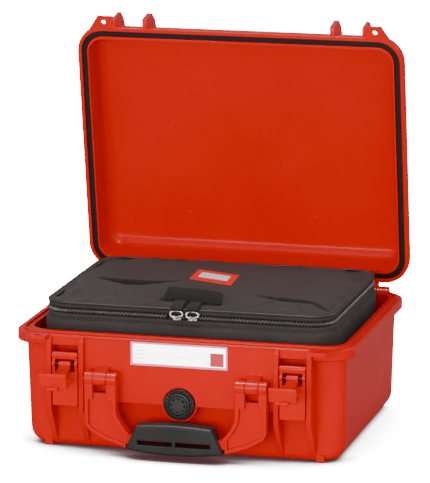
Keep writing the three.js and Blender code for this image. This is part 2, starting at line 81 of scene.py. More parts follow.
def apply_modifiers(obj):
    """Bakes the object's modifiers into its mesh."""
    depsgraph = bpy.context.evaluated_depsgraph_get()
    baked = bpy.data.meshes.new_from_object(obj.evaluated_get(depsgraph), depsgraph=depsgraph)
    obj.modifiers.clear()
    obj.data = baked


def set_material(obj, material):
    obj.data.materials.clear()
    obj.data.materials.append(material)


def place(obj, body, material, slot, *replaced):
    """Gives a finished piece its material, its CAD body and the CAD nodes it stands for."""
    set_material(obj, material)
    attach(obj, body)
    if replaced:
        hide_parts(*replaced)
    return obj


def shade_by_angle(mesh, degrees):
    """Smooth shading with sharp edges wherever two faces meet at more than the given angle."""
    mesh.polygons.foreach_set("use_smooth", [True] * len(mesh.polygons))
    bm = bmesh.new()
    bm.from_mesh(mesh)
    limit = math.radians(degrees)
    for edge in bm.edges:
        edge.smooth = len(edge.link_faces) == 2 and edge.calc_face_angle(0) < limit
    bm.to_mesh(mesh)
    bm.free()


def finished_copy(node, name, bevel=0.0, segments=2, angle=35, sharp=50):
    """A copy of a CAD node with merged flats, softened edges and weighted normals."""
    bm = bmesh.new()
    bm.from_mesh(NODES[node].data)
    bmesh.ops.remove_doubles(bm, verts=bm.verts, dist=0.01 * MM)
    bmesh.ops.dissolve_limit(bm, angle_limit=math.radians(0.6), verts=bm.verts, edges=bm.edges)
    mesh = bpy.data.meshes.new(name)
    bm.to_mesh(mesh)
    bm.free()
    mesh.materials.clear()
    obj = bpy.data.objects.new(name, mesh)
    bpy.context.scene.collection.objects.link(obj)
    if bevel:
        mod = obj.modifiers.new("edges", "BEVEL")
        mod.width = bevel
        mod.segments = segments
        mod.limit_method = "ANGLE"
        mod.angle_limit = math.radians(angle)
        mod.miter_outer = "MITER_ARC"
        mod.use_clamp_overlap = True
        apply_modifiers(obj)
    shade_by_angle(obj.data, sharp)
    weighted = obj.modifiers.new("normals", "WEIGHTED_NORMAL")
    weighted.mode = "FACE_AREA"
    weighted.keep_sharp = True
    weighted.weight = 80
    return obj


# ---- materials -----------------------------------------------------------------------------


class Nodes:
    """Short hand for building one material's node tree."""

    def __init__(self, name):
        self.material = bpy.data.materials.new(name)
        self.material.use_nodes = True
        self.tree = self.material.node_tree
        self.bsdf = self.tree.nodes["Principled BSDF"]

    def add(self, kind, **settings):
        node = self.tree.nodes.new(kind)
        for key, value in settings.items():
            if key in node.inputs:
                node.inputs[key].default_value = value
            else:
                setattr(node, key, value)
        return node

    def link(self, out, target):
        self.tree.links.new(out, target)

    def axes(self):
        """X, Y and Z of the shaded point, in metres."""
        split = self.add("ShaderNodeSeparateXYZ")
        self.link(self.add("ShaderNodeTexCoord").outputs["Object"], split.inputs[0])
        return split.outputs

    def noise(self, scale, detail=3.0, rough=0.5):
        node = self.add("ShaderNodeTexNoise", Scale=scale, Detail=detail, Roughness=rough)
        self.link(self.add("ShaderNodeTexCoord").outputs["Object"], node.inputs["Vector"])
        return node.outputs["Fac"]

    def ramp(self, value, stops):
        node = self.add("ShaderNodeValToRGB")
        ramp = node.color_ramp
        while len(ramp.elements) < len(stops):
            ramp.elements.new(0.5)
        for element, (position, color) in zip(ramp.elements, stops):
            element.position = position
            element.color = (*color, 1)
        self.link(value, node.inputs["Fac"])
        return node.outputs["Color"]

    def mix(self, factor, start, end):
        """The start colour turning into the end colour as the factor goes from 0 to 1."""
        node = self.add("ShaderNodeMix", data_type="RGBA")
        self.link(factor, node.inputs["Factor"])
        for key, color in (("A", start), ("B", end)):
            if isinstance(color, tuple):
                node.inputs[key].default_value = (*color, 1)
            else:
                self.link(color, node.inputs[key])
        return node.outputs["Result"]

    def span(self, value, low, high, from_low=0.0, from_high=1.0):
        """Maps the range from_low to from_high onto the range low to high."""
        node = self.add("ShaderNodeMapRange")
        limits = {"From Min": from_low, "From Max": from_high, "To Min": low, "To Max": high}
        for key, number in limits.items():
            node.inputs[key].default_value = number
        self.link(value, node.inputs["Value"])
        return node.outputs["Result"]

    def math(self, operation, a, b=None):
        node = self.add("ShaderNodeMath", operation=operation)
        for socket, value in zip(node.inputs, (a, b)):
            if value is None:
                continue
            if isinstance(value, (int, float)):
                socket.default_value = value
            else:
                self.link(value, socket)
        return node.outputs[0]

    def bump(self, height, distance, strength=1.0, normal=None):
        node = self.add("ShaderNodeBump", Strength=strength, Distance=distance)
        self.link(height, node.inputs["Height"])
        if normal is not None:
            self.link(normal, node.inputs["Normal"])
        return node.outputs["Normal"]

    def round_edges(self, radius):
        node = self.add("ShaderNodeBevel", Radius=radius)
        node.samples = 4
        return node.outputs["Normal"]

    def finish(self, color=None, roughness=None, normal=None, **inputs):
        for key, value in (("Base Color", color), ("Roughness", roughness), ("Normal", normal)):
            if value is None:
                continue
            if isinstance(value, (int, float, tuple)):
                self.bsdf.inputs[key].default_value = value
            else:
                self.link(value, self.bsdf.inputs[key])
        for key, value in inputs.items():
            self.bsdf.inputs[key.replace("_", " ")].default_value = value
        return self.material


def moulded_plastic(name, dark, light, rough, edge=0.9 * MM, grain=0.035 * MM, coat=0.0):
    """Injection-moulded plastic: fine grain, faint flow clouds, uneven gloss, soft edges, thin coat."""
    n = Nodes(name)
    clouds = n.noise(7.0, 4.0, 0.55)
    color = n.ramp(clouds, [(0.3, dark), (0.7, light)])
    gloss = n.span(n.noise(38.0, 5.0, 0.6), rough - 0.05, rough + 0.07)
    base = n.round_edges(edge)
    waves = n.bump(n.noise(16.0, 2.0), 0.25 * MM, 0.35, base)
    fine = n.bump(n.noise(2600.0, 2.0, 0.6), grain, 0.5, waves)
    coat_normal = n.bump(n.noise(16.0, 2.0), 0.12 * MM, 0.35, base)
    n.link(coat_normal, n.bsdf.inputs["Coat Normal"])
    return n.finish(color, gloss, fine, Specular_IOR_Level=0.16 - 0.6 * coat, Coat_Weight=coat,
                    Coat_Roughness=0.16)


def soft_rubber(name, color, rough, edge=0.8 * MM, grain=0.06 * MM):
    n = Nodes(name)
    tone = n.ramp(n.noise(30.0, 4.0), [(0.3, color), (0.75, tuple(c * 1.35 for c in color))])
    gloss = n.span(n.noise(60.0, 4.0), rough - 0.06, rough + 0.06)
    fine = n.bump(n.noise(1800.0, 3.0, 0.7), grain, 0.6, n.round_edges(edge))
    return n.finish(tone, gloss, fine, Specular_IOR_Level=0.25)


def woven_cloth(name, warp, weft, pitch, sheen):
    """Plain-weave cloth: two crossed thread waves, slubs and a soft sheen; painted shade makes it near black
    where the "fold" attribute is high, inside the pocket folds.
    """
    depth, rough = 0.12 * MM, 0.86
    n = Nodes(name)
    axes = n.axes()
    turns = 2 * math.pi / pitch
    lie = n.math("ADD", axes["Y"], axes["Z"])
    across = n.math("SINE", n.math("MULTIPLY", axes["X"], turns))
    along = n.math("SINE", n.math("MULTIPLY", lie, turns))
    threads = n.math("MULTIPLY", across, along)
    slubs = n.noise(420.0, 3.0, 0.6)
    cloud = n.noise(18.0, 4.0, 0.6)
    tone = n.math("ADD", n.math("MULTIPLY", threads, 0.18), n.math("MULTIPLY", cloud, 0.8))
    color = n.ramp(tone, [(0.15, warp), (0.75, weft)])
    # painted shade: the colour goes nearly black inside the pocket folds, where shade falls
    fold = n.add("ShaderNodeAttribute", attribute_name="fold").outputs["Fac"]
    color = n.mix(n.math("POWER", fold, 0.32), color, (0.002, 0.002, 0.002))
    height = n.math("ADD", threads, n.math("MULTIPLY", slubs, 0.9))
    normal = n.bump(height, depth, 0.55)
    crease = n.bump(n.noise(26.0, 3.0, 0.5), 1.1 * MM, 0.35, normal)
    return n.finish(color, n.span(slubs, rough - 0.05, rough + 0.08), crease,
                    Sheen_Weight=sheen, Sheen_Roughness=0.45, Specular_IOR_Level=0.14)


def webbing_cloth(name, color, rib=1.6 * MM):
    """Flat webbing: diagonal twill ribs across the strip."""
    n = Nodes(name)
    axes = n.axes()
    turns = 2 * math.pi / rib
    slant = n.math("ADD", axes["X"], n.math("MULTIPLY", axes["Z"], 0.7))
    ribs = n.math("SINE", n.math("MULTIPLY", slant, turns))
    fuzz = n.noise(700.0, 3.0, 0.7)
    height = n.math("ADD", ribs, fuzz)
    tone = n.ramp(fuzz, [(0.3, color), (0.8, tuple(c * 1.8 for c in color))])
    return n.finish(tone, 0.82, n.bump(height, 0.15 * MM, 0.7), Sheen_Weight=0.03, Specular_IOR_Level=0.2)


def plated_metal(name, color, rough):
    n = Nodes(name)
    gloss = n.span(n.noise(300.0, 4.0), rough - 0.05, rough + 0.12)
    fine = n.bump(n.noise(900.0, 2.0), 0.02 * MM, 0.4, n.round_edges(0.3 * MM))
    return n.finish((*color, 1), gloss, fine, Metallic=1.0)


def label_paper(name):
    """Plain card with faint ruled lines at the left and a plain coloured square at the right; the card glows
    with its own colour as painted light, the square only faintly.
    """
    n = Nodes(name)
    axes = n.axes()
    x, z = axes["X"], axes["Z"]

    def inside(value, low, high):
        return n.math("MULTIPLY", n.math("GREATER_THAN", value, low), n.math("LESS_THAN", value, high))

    rows = n.math("GREATER_THAN", n.math("SINE", n.math("MULTIPLY", z, 2 * math.pi / (4.6 * MM))), 0.35)
    ruled = n.math("MULTIPLY", rows, n.math("MULTIPLY", inside(x, -53 * MM, -41 * MM),
                                            inside(z, 111 * MM, 130 * MM)))
    bar = n.math("MULTIPLY", inside(x, -6 * MM, 16 * MM), inside(z, 118.2 * MM, 119.6 * MM))
    ink = n.math("MAXIMUM", n.math("MULTIPLY", ruled, 0.55), n.math("MULTIPLY", bar, 0.4))
    square = n.math("MULTIPLY", inside(x, 37 * MM, 53.5 * MM), inside(z, 110.8 * MM, 127 * MM))
    paper = n.ramp(n.noise(90.0, 4.0), [(0.3, (0.86, 0.84, 0.84)), (0.8, (0.93, 0.91, 0.91))])
    grey = n.mix(ink, paper, (0.10, 0.10, 0.11))
    # painted light: the card glows with its own colour so it shows whiter than the lamps alone light it; the
    # square glows only faintly
    n.link(n.mix(square, grey, (0.015, 0.0, 0.0)), n.bsdf.inputs["Emission Color"])
    fibres = n.bump(n.noise(1500.0, 3.0), 0.02 * MM, 0.4)
    return n.finish(n.mix(square, grey, (0.62, 0.05, 0.06)), 0.7, fibres, Emission_Strength=7.0)


def sewn_badge(name):
    """Woven red patch with a plain white field in the middle."""
    n = Nodes(name)
    field = n.add("ShaderNodeAttribute", attribute_name="field")
    split = n.add("ShaderNodeSeparateXYZ")
    n.link(field.outputs["Vector"], split.inputs[0])
    u, v = split.outputs["X"], split.outputs["Y"]
    across = n.math("MULTIPLY", n.span(u, 0.0, 1.0, 0.14, 0.17), n.span(u, 1.0, 0.0, 0.83, 0.86))
    along = n.math("MULTIPLY", n.span(v, 0.0, 1.0, 0.26, 0.30), n.span(v, 1.0, 0.0, 0.72, 0.76))
    weave = n.noise(500.0, 3.0, 0.7)
    red = n.ramp(weave, [(0.3, (0.86, 0.014, 0.005)), (0.75, (0.95, 0.022, 0.009))])
    color = n.mix(n.math("MULTIPLY", across, along), red, (0.93, 0.92, 0.91))
    return n.finish(color, 0.7, n.bump(weave, 0.2 * MM, 0.6), Specular_IOR_Level=0.15)


RED = moulded_plastic("shell_red", (0.62, 0.0022, 0.0004), (0.68, 0.0030, 0.0006), 0.33, coat=0.15)
LATCH = moulded_plastic("latch_red", (0.64, 0.0036, 0.0010), (0.71, 0.0050, 0.0016), 0.30,
                        edge=0.6 * MM, coat=0.2)
BLACK = moulded_plastic("valve_black", (0.016, 0.015, 0.014), (0.024, 0.022, 0.021), 0.42, edge=0.4 * MM)
VALVE_FACE = moulded_plastic("valve_face", (0.034, 0.031, 0.030), (0.046, 0.042, 0.040), 0.36, edge=0.4 * MM)
# near-black rubber for the seals, also used as painted shade in the valve knob's grooves
SEAL_AND_GROOVE_SHADE = soft_rubber("seal_rubber", (0.008, 0.008, 0.009), 0.5)
GRIP = soft_rubber("grip_rubber", (0.017, 0.017, 0.0155), 0.5, edge=1.2 * MM)
STEEL = plated_metal("pin_steel", (0.06, 0.04, 0.037), 0.45)
NICKEL = plated_metal("zip_metal", (0.72, 0.70, 0.69), 0.22)
CLOTH = woven_cloth("bag_cloth", (0.034, 0.0290, 0.0272), (0.054, 0.0475, 0.0445), 1.1 * MM, sheen=0.03)
LINING = woven_cloth("bag_lining", (0.026, 0.025, 0.025), (0.038, 0.036, 0.036), 0.8 * MM, sheen=0.1)
TAPE = webbing_cloth("zip_tape", (0.007, 0.006, 0.006), 0.9 * MM)
COIL = soft_rubber("zip_coil", (0.13, 0.12, 0.112), 0.34, edge=0.1 * MM)
PIPING = soft_rubber("bag_piping", (0.020, 0.0180, 0.0170), 0.50, edge=0.3 * MM)
WEBBING = webbing_cloth("webbing", (0.0060, 0.0048, 0.0044))
PAPER = label_paper("label_paper")
CLEAR = soft_rubber("label_clear", (0.86, 0.30, 0.44), 0.25, edge=0.3 * MM, grain=0.01 * MM)
BADGE = sewn_badge("patch_red")

# ---- padded bag: shared outline ---------------------------------------------------------------
# Millimetres from here on; mesh_mm turns them into metres.
HALF_X, HALF_Y, CORNER, MID_Y = 174.0, 130.0, 30.0, 1.0
COVER_EDGE = 170.0


def mesh_mm(name, verts, faces, smooth=True):
    return new_object(name, [(x * MM, y * MM, z * MM) for x, y, z in verts], faces, smooth)


def outline(inset, corner_steps=9, long_steps=64, short_steps=48):
    """Points (x, y, outward normal) round the bag, anticlockwise from the right side's rear end."""
    r = max(CORNER - inset, 4.0)
    fx, fy = HALF_X - inset - r, HALF_Y - inset - r
    points = []
    for quarter, (cx, cy) in enumerate(((fx, fy), (-fx, fy), (-fx, -fy), (fx, -fy))):
        start = quarter * math.pi / 2
        for i in range(corner_steps):
            a = start + math.pi / 2 * i / corner_steps
            n = (math.cos(a), math.sin(a))
            points.append((cx + r * n[0], cy + r * n[1] + MID_Y, n))
        end = start + math.pi / 2
        n = (math.cos(end), math.sin(end))
        nx, ny = ((-fx, fy), (-fx, -fy), (fx, -fy), (fx, fy))[quarter]
        steps = long_steps if quarter % 2 == 0 else short_steps
        for i in range(steps):
            t = i / steps
            x, y = cx + (nx - cx) * t, cy + (ny - cy) * t
            points.append((x + r * n[0], y + r * n[1] + MID_Y, n))
    return points


def bridge(rows, count, closed_rows=False):
    """Quads between consecutive rings of the same point count."""
    faces = []
    for row in range(rows - 1 + closed_rows):
        a, b = row * count, ((row + 1) % rows) * count
        for i in range(count):
            j = (i + 1) % count
            faces.append((a + i, a + j, b + j, b + i))
    return faces


def ruffle(x, y, z, size):
    """Smooth noise from -1 to 1 with the given feature size in mm."""
    return noise.noise(Vector((x / size, y / size, z / size)))


def cord(name, inset, z, radius, sides=8, wobble=0.0):
    """A round cord sewn along the bag's outline."""
    base = outline(inset)
    verts = []
    for k in range(sides):
        a = 2 * math.pi * k / sides
        for x, y, n in base:
            out = radius * math.cos(a) + wobble * ruffle(x, y, z, 26)
            up = radius * math.sin(a) + 0.6 * wobble * ruffle(x, y, z + 90, 34)
            verts.append((x + n[0] * out, y + n[1] * out, z + up))
    faces = bridge(sides, len(base), closed_rows=True)
    return mesh_mm(name, verts, faces)


# ---- bag tray -----------------------------------------------------------------------------------
# Outer wall then lining: (inset, height, how far the padding may swell outwards)
TRAY_WALL = [(40, 5.6, 0), (14, 5.4, 0), (7, 6.6, 0), (3.2, 9.4, 0), (1.4, 14, 0.4), (0.9, 20, 1.2)]
TRAY_WALL += [(0.6, 20 + 9.0 * i, 2.6) for i in range(1, 14)]
TRAY_WALL += [(0.5, 143, 3.0), (0.4, 148, 3.0), (0.7, 151, 1.6), (1.5, 152.2, 0.2), (0.9, 153.4, 0.6),
              (1.0, 155.6, 0.2), (2.2, 156.9, 0)]
TRAY_LINING = [(4.6, 157.0, 0), (6.2, 155.6, 0)]
TRAY_LINING += [(6.6, 155.6 - 11.0 * i, -1.6) for i in range(1, 12)]
TRAY_LINING += [(9, 24, 0), (16, 19.5, 0), (40, 18.4, 0)]


def tray_point(x, y, n, z, swell):
    """Pushes the padded wall out, more at the middle of each side, with lazy wrinkles."""
    middle = 1 - 0.55 * abs(n[0] * n[1]) * 2
    front = 1.5 if n[1] < -0.8 else 1.0
    lazy = 0.62 * ruffle(x, y, z, 70) + 0.3 * ruffle(x, y, z * 2.2, 24) + 0.12 * ruffle(x, y, z, 9)
    push = swell * (middle * front * 0.75 + lazy)
    return x + n[0] * push, y + n[1] * push, z + 0.35 * swell * ruffle(x, y, z + 300, 40)


def bag_tray():
    verts = []
    for inset, z, swell in TRAY_WALL + TRAY_LINING:
        verts += [tray_point(x, y, n, z, swell) for x, y, n in outline(inset)]
    count = len(outline(0))
    rows = len(TRAY_WALL) + len(TRAY_LINING)
    faces = bridge(rows, count)
    lining_from = (len(TRAY_WALL) - 1) * count
    faces += [tuple(range(count))[::-1], tuple(range((rows - 1) * count, rows * count))]
    obj = mesh_mm("bag_tray_cloth", verts, faces)
    place(obj, "bag", CLOTH, "bag_cloth", "bag_tray")
    obj.data.materials.append(LINING)
    index = [1 if i >= lining_from else 0 for i in range(len(faces))]
    index[-2], index[-1] = 0, 1
    obj.data.polygons.foreach_set("material_index", index)


def stitches(name, body, inset, z, pitch, size, keep, material, slot):
    """A row of short sewn threads lying on the cloth along the outline."""
    path = [p for p in outline(inset) if keep(p)]
    verts, faces, carry = [], [], 0.0
    for (x0, y0, n), (x1, y1, _) in zip(path, path[1:]):
        length = math.hypot(x1 - x0, y1 - y0)
        if length > 12:
            continue
        while carry < length:
            t = carry / length
            cx, cy = x0 + (x1 - x0) * t, y0 + (y1 - y0) * t
            dx, dy = (x1 - x0) / length, (y1 - y0) / length
            k = len(verts)
            rise = ruffle(cx, cy, z, 30) * 0.5
            half, out, up = size
            for along, off, lift in ((-half, 0, 0), (0, out, up), (half, 0, 0), (0, out, -up), (0, -out, 0)):
                verts.append((cx + dx * along + n[0] * off, cy + dy * along + n[1] * off, z + lift + rise))
            faces += [(k, k + 1, k + 3), (k + 1, k + 2, k + 3), (k, k + 4, k + 1), (k + 1, k + 4, k + 2),
                      (k, k + 3, k + 4), (k + 3, k + 2, k + 4)]
            carry += pitch
        carry -= length
    place(mesh_mm(name, verts, faces), body, material, slot)


# ---- zip ----------------------------------------------------------------------------------------
ZIP_END = 118


def front_and_sides(point):
    """True where the zip and the stitches run; the rear is left to the cloth hinge."""
    return point[1] < ZIP_END


def zip_tape(name, body, node, low, high):
    """The woven tape on one side of the teeth, a thin band with a rolled edge."""
    rows = [(3.4, low), (1.9, low), (1.6, (low + high) / 2), (1.9, high), (3.4, high)]
    verts = []
    for inset, z in rows:
        verts += [(x, y, z) for x, y, _ in outline(inset)]
    faces = bridge(len(rows), len(outline(0)), closed_rows=True)
    place(mesh_mm(name, verts, faces), body, TAPE, "zip_tape", node)


def zip_teeth(name, body, z, lean, offset):
    """One side's coil: close-set loops bulging out of the tape, along the front and both sides."""
    pitch, half, out, up = 4.0, 0.8, 1.35, 1.9
    path = [p for p in outline(1.3) if front_and_sides(p)]
    path = path[len(path) // 2:] + path[:len(path) // 2]
    verts, faces, carry = [], [], offset * pitch
    for (x0, y0, n), (x1, y1, _) in zip(path, path[1:]):
        length = math.hypot(x1 - x0, y1 - y0)
        if length > 12 or length == 0:
            continue
        dx, dy = (x1 - x0) / length, (y1 - y0) / length
        while carry < length:
            cx, cy = x0 + dx * carry, y0 + dy * carry
            k = len(verts)
            for along, off, lift in ((-half, -0.2, 0), (half, -0.2, 0), (0, out, lean * 0.25), (0, -0.2, up),
                                     (0, -0.2, -up), (0, out * 0.8, up * 0.8), (0, out * 0.8, -up * 0.8)):
                verts.append((cx + dx * along + n[0] * off, cy + dy * along + n[1] * off, z + lift))
            faces += [(k, k + 2, k + 5), (k, k + 5, k + 3), (k + 1, k + 5, k + 2), (k + 1, k + 3, k + 5),
                      (k, k + 6, k + 2), (k, k + 4, k + 6), (k + 1, k + 2, k + 6), (k + 1, k + 6, k + 4)]
            carry += pitch
        carry -= length
    place(mesh_mm(name, verts, faces), body, COIL, "zip_tape")


# ---- bag cover ------------------------------------------------------------------------------------
TOP_X, TOP_Y, TOP_R = HALF_X - 3.0, HALF_Y - 3.0, CORNER - 3.0
# the two pocket folds across the cover: x, rear lip y, front lip y
FOLD_LEFT = [(-142, -7, -9), (-126, -11, -22), (-112, -14, -33), (-97, -16.5, -42), (-80, -17.5, -41),
             (-64, -15.5, -31), (-50, -11, -18), (-38, -5, -7)]
FOLD_RIGHT = [(62, -52, -54), (78, -61, -68), (92, -65, -76), (108, -67, -80), (124, -68, -80),
              (140, -75, -82), (156, -86, -90), (169, -96, -98)]


def fold_at(table, x):
    """(rear lip y, front lip y, strength) of a fold at x, or None away from it."""
    if not table[0][0] < x < table[-1][0]:
        return None
    for (x0, a0, b0), (x1, a1, b1) in zip(table, table[1:]):
        if x <= x1:
            t = (x - x0) / (x1 - x0)
            t = t * t * (3 - 2 * t)
            along = (x - table[0][0]) / (table[-1][0] - table[0][0])
            return a0 + (a1 - a0) * t, b0 + (b1 - b0) * t, math.sin(math.pi * along) ** 0.7
    return None


def cover_fold(x, y):
    """(height change, painted shade) that the two folds give the cover at a point; the shade is painted into
    the cloth's colour.
    """
    for table, depth in ((FOLD_LEFT, 6.2), (FOLD_RIGHT, 4.2)):
        at = fold_at(table, x)
        if at is None:
            continue
        rear, front, strength = at
        if front < y <= rear:
            t = (y - front) / (rear - front)
            return -depth * strength * t ** 1.6, strength * t
        if rear < y < rear + 14:
            return 1.5 * strength * math.exp(-(y - rear) / 5), 0
        if front - 30 < y <= front:
            return 1.1 * strength * math.exp((y - front) / 11) * (1 - math.exp((y - front) / 3)), 0
    return 0, 0


def cover_rows():
    """Row heights y with the half width of the cover's top there."""
    rows = []
    steps = 9
    for i in range(steps, 0, -1):
        a = math.pi / 2 * i / steps
        rows.append((-(TOP_Y - TOP_R) - TOP_R * math.sin(a), TOP_X - TOP_R + TOP_R * math.cos(a)))
    flat = 86
    for i in range(flat + 1):
        rows.append((-(TOP_Y - TOP_R) + 2 * (TOP_Y - TOP_R) * i / flat, TOP_X))
    for i in range(1, steps + 1):
        a = math.pi / 2 * i / steps
        rows.append(((TOP_Y - TOP_R) + TOP_R * math.sin(a), TOP_X - TOP_R + TOP_R * math.cos(a)))
    return rows


def crown(x, y):
    """How far the padded top stands above its edge before the cloth settles."""
    fx = max(0.0, 1 - (x / TOP_X) ** 2)
    fy = max(0.0, 1 - (y / TOP_Y) ** 2)
    return 3.4 * (fx * fy) ** 0.42


def cover_top():
    """The cover's cloth: settled by a cloth run, then pocket folds and creases are worked in."""
    rows = cover_rows()
    columns = 120
    verts, faces = [], []
    for y, half in rows:
        for i in range(columns + 1):
            x = half * (2 * i / columns - 1)
            verts.append((x, y + MID_Y, COVER_EDGE + crown(x, y)))
    for r in range(len(rows) - 1):
        for i in range(columns):
            a = r * (columns + 1) + i
            faces.append((a, a + 1, a + columns + 2, a + columns + 1))
    obj = mesh_mm("bag_cover_top", verts, faces)
    edge = [r * (columns + 1) + i for r in range(len(rows)) for i in range(columns + 1)
            if r in (0, len(rows) - 1) or i in (0, columns)]
    settle(obj, edge)
    flat = np.array([v.co for v in obj.data.vertices]) / MM
    # painted shade inside the pocket folds, kept in a point attribute that darkens the cloth's colour
    dark = np.zeros(len(flat), np.float32)
    for i, (x, y, z) in enumerate(flat):
        margin = min(TOP_X - abs(x), TOP_Y - abs(y - MID_Y))
        inner = min(1.0, max(0.0, margin / 14))
        lift, dark[i] = cover_fold(x, y - MID_Y + 1)
        front = min(1.0, max(0.0, (-20 - y) / 60))
        creases = 0.5 * ruffle(x, y * 1.6, 5, 46) + 0.28 * front * ruffle(x * 1.3, y * 2.4, 9, 19)
        crease_line = 0.9 * front * math.exp(-((y + 96 + 0.05 * x + 5 * ruffle(x, 0, 2, 60)) / 3.2) ** 2)
        flat[i][2] = z + lift + inner * (creases + 0.16 * ruffle(x, y, 1, 8)) - inner * crease_line * 0.6
    obj.data.vertices.foreach_set("co", (flat * MM).ravel())
    attribute = obj.data.attributes.new("fold", "FLOAT", "POINT")
    attribute.data.foreach_set("value", dark)
    obj.data.update()
    place(obj, "bag_top", CLOTH, "bag_cloth", "bag_cover")


SETTLE_FRAMES = 18


def settle(obj, edge):
    """Runs the top as real cloth: slightly oversize, held at its sewn edge, puffed from below."""
    group = obj.vertex_groups.new(name="sewn")
    group.add(edge, 1.0, "REPLACE")
    cloth = obj.modifiers.new("cloth", "CLOTH")
    settings = cloth.settings
    settings.quality = 6
    settings.mass = 0.3
    settings.tension_stiffness = settings.compression_stiffness = 25
    settings.shear_stiffness = 12
    settings.bending_stiffness = 0.9
    settings.air_damping = 3
    settings.vertex_group_mass = "sewn"
    settings.shrink_min = -0.02
    settings.use_pressure = True
    settings.uniform_pressure_force = 1.4
    settings.effector_weights.gravity = 0
    cloth.collision_settings.use_self_collision = False
    scene = bpy.context.scene
    scene.frame_start, scene.frame_end = 1, SETTLE_FRAMES
    cloth.point_cache.frame_start, cloth.point_cache.frame_end = 1, SETTLE_FRAMES
    before = np.array([v.co for v in obj.data.vertices])
    for frame_number in range(1, SETTLE_FRAMES + 1):
        scene.frame_set(frame_number)
    apply_modifiers(obj)
    after = np.array([v.co for v in obj.data.vertices])
    move = np.clip(after - before, -3.0 * MM, 2.2 * MM)
    obj.data.vertices.foreach_set("co", (before + move).ravel())
    obj.data.update()
    scene.frame_set(1)


def cover_side():
    """The cover's padded edge below its top, with the lining that shows when it is open."""
    side = [(60, 162.4), (30, 162.0), (12, 162.6), (5, 163.4), (2.2, 163.6), (1.4, 164.6), (0.9, 166.2),
            (1.3, 167.8), (2.4, 169.2), (4.2, 170.2), (9, 170.6)]
    verts = []
    for inset, z in side:
        for x, y, n in outline(inset):
            push = 0.5 * ruffle(x, y, z, 30) + 0.25 * ruffle(x, y, z, 9)
            quilt = 0 if inset < 9 else 0.6 * ruffle(x, y, z, 50)
            verts.append((x + n[0] * push, y + n[1] * push, z + quilt))
    count = len(outline(0))
    faces = bridge(len(side), count)
    faces.append(tuple(range(count))[::-1])
    obj = mesh_mm("bag_cover_side", verts, faces)
    place(obj, "bag_top", CLOTH, "bag_cloth", "bag_cover")
    obj.data.materials.append(LINING)
    index = [1 if i < 3 * count else 0 for i in range(len(faces))]
    index[-1] = 1
    obj.data.polygons.foreach_set("material_index", index)


# a webbing strip's cross-section: shares of its width and thickness
STRIP_SECTION = ((-0.5, -0.3), (-0.5, 0.3), (-0.46, 0.5), (0.46, 0.5),
                 (0.5, 0.3), (0.5, -0.3), (0.46, -0.5), (-0.46, -0.5))


def strip(name, path, width, thick):
    """A flat strap lying across x, swept along a path of (point, up) pairs in mm, with rounded long edges."""
    side = Vector((1, 0, 0))
    verts = []
    for point, up in path:
        for a, b in STRIP_SECTION:
            verts.append(tuple(Vector(point) + side * (a * width) + Vector(up).normalized() * (b * thick)))
    n = len(STRIP_SECTION)
    faces = bridge(len(path), n)
    faces += [tuple(range(n))[::-1], tuple(range((len(path) - 1) * n, len(path) * n))]
    return mesh_mm(name, verts, faces)


def top_height(x, y):
    """Rough height of the cover's cloth, for pieces that lie on it."""
    return COVER_EDGE + crown(x, y - MID_Y) + 1.3


# the strap's cross-section: share of its width, half thickness
STRAP_SECTION = ((0, -0.9), (0, 0.9), (0.08, 1.5), (0.92, 1.5),
                 (1, 0.9), (1, -0.9), (0.92, -1.5), (0.08, -1.5))
STRAP_LEFT, STRAP_LENGTH = -38, 77


def bag_handle():
    """Stiff carrying strap: its ends are sewn flat, its middle arches up and leans back."""
    steps, verts, faces = 40, [], []
    for i in range(steps + 1):
        x = STRAP_LEFT + STRAP_LENGTH * i / steps
        rise, drop = min(1.0, (x - STRAP_LEFT) / 12), max(0.0, (x - 26) / 13)
        arch = rise * rise * (3 - 2 * rise) - 0.30 * drop * drop
        foot = Vector((x, -106 - 0.16 * (x - STRAP_LEFT) * arch, 173.6 + 1.8 * arch))
        lean = Vector((0, 0.95 - 0.42 * arch, 0.06 + 0.80 * arch)).normalized()
        width = 12 + 4.5 * arch + 0.8 * ruffle(x, 0, 0, 20)
        face = Vector((0, -lean.z, lean.y))
        for a, b in STRAP_SECTION:
            verts.append(tuple(foot + lean * (a * width) + face * b))
    n = len(STRAP_SECTION)
    faces = bridge(steps + 1, n)
    faces += [tuple(range(n))[::-1], tuple(range(steps * n, steps * n + n))]
    obj = mesh_mm("bag_handle_strap", verts, faces)
    shade_by_angle(obj.data, 50)
    place(obj, "bag_top", WEBBING, "webbing", "bag_handle")
    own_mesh(obj)


def pull_tab(side, name):
    """Webbing tab from the ring, up over the cover's edge and back under the strap."""
    centre = side * 9.5
    path = [((centre, -134.4, 168.6), (0, -1, 0.3)), ((centre, -133.4, 171.4), (0, -0.8, 0.6)),
            ((centre, -130.0, 173.6), (0, -0.4, 0.9)), ((centre, -123, 175.0), (0, -0.15, 1)),
            ((centre, -115, 175.6), (0, 0, 1)), ((centre, -106, 175.8), (0, 0, 1))]
    obj = strip(f"pull_webbing_{name}", path, 14.5, 2.2)
    subdivide = obj.modifiers.new("soft", "SUBSURF")
    subdivide.levels = subdivide.render_levels = 1
    apply_modifiers(obj)
    place(obj, f"pull_{name}", WEBBING, "webbing", f"pull_tab_{name}")


# the patch's corners on the cover, x and y
PATCH = ((-31, 4), (26, -18), (22, 40), (-34, 60))


def patch_point(u, v):
    """The point at shares u and v across the patch's four corners."""
    near, far = [[a * (1 - u) + b * u for a, b in zip(PATCH[i], PATCH[j])] for i, j in ((0, 1), (3, 2))]
    return [a * (1 - v) + b * v for a, b in zip(near, far)]


